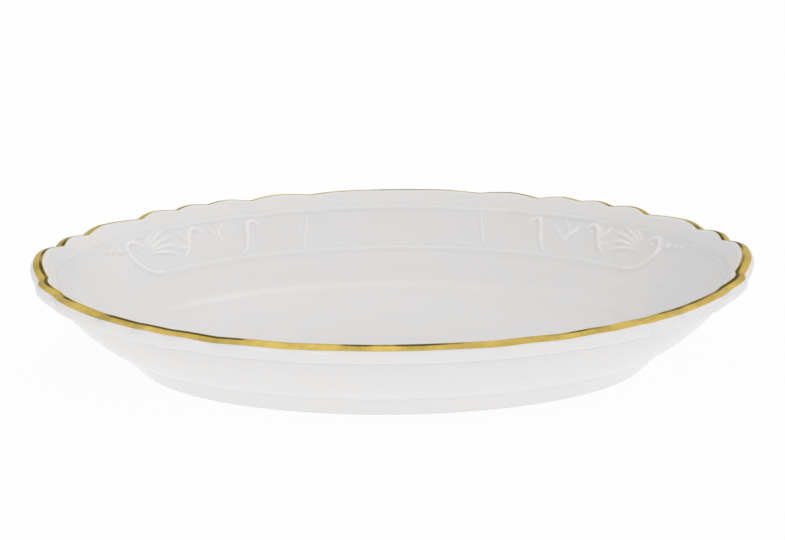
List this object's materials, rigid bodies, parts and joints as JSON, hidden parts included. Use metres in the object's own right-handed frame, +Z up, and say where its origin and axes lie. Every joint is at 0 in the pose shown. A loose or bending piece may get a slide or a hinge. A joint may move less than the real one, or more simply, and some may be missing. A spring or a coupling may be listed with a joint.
{
  "type": "oval serving platter",
  "caption": "Deep oval porcelain serving platter with a scalloped gold-lined rim, pressed wall relief and a ground foot ring.",
  "frame": {"origin": "middle of the oval, on the plane that the foot ring stands on", "axes": "+X along the oval's length, +Y across it, +Z up"},
  "size_m": [0.36, 0.252, 0.058],
  "materials": {
    "porcelain": "white hard-paste porcelain under a clear glossy glaze, bare on the standing edge",
    "gold": "thin burnished gold, fired on over the glaze"
  },
  "bodies": {
    "root": {"body": "porcelain", "foot_ring": "porcelain", "rim_bead": "porcelain", "side_border": "porcelain", "gold_rim_line": "gold", "cartouche_back_right": "porcelain", "cartouche_back_left": "porcelain", "cartouche_front_left": "porcelain", "cartouche_front_right": "porcelain"}
  },
  "joints": []
}
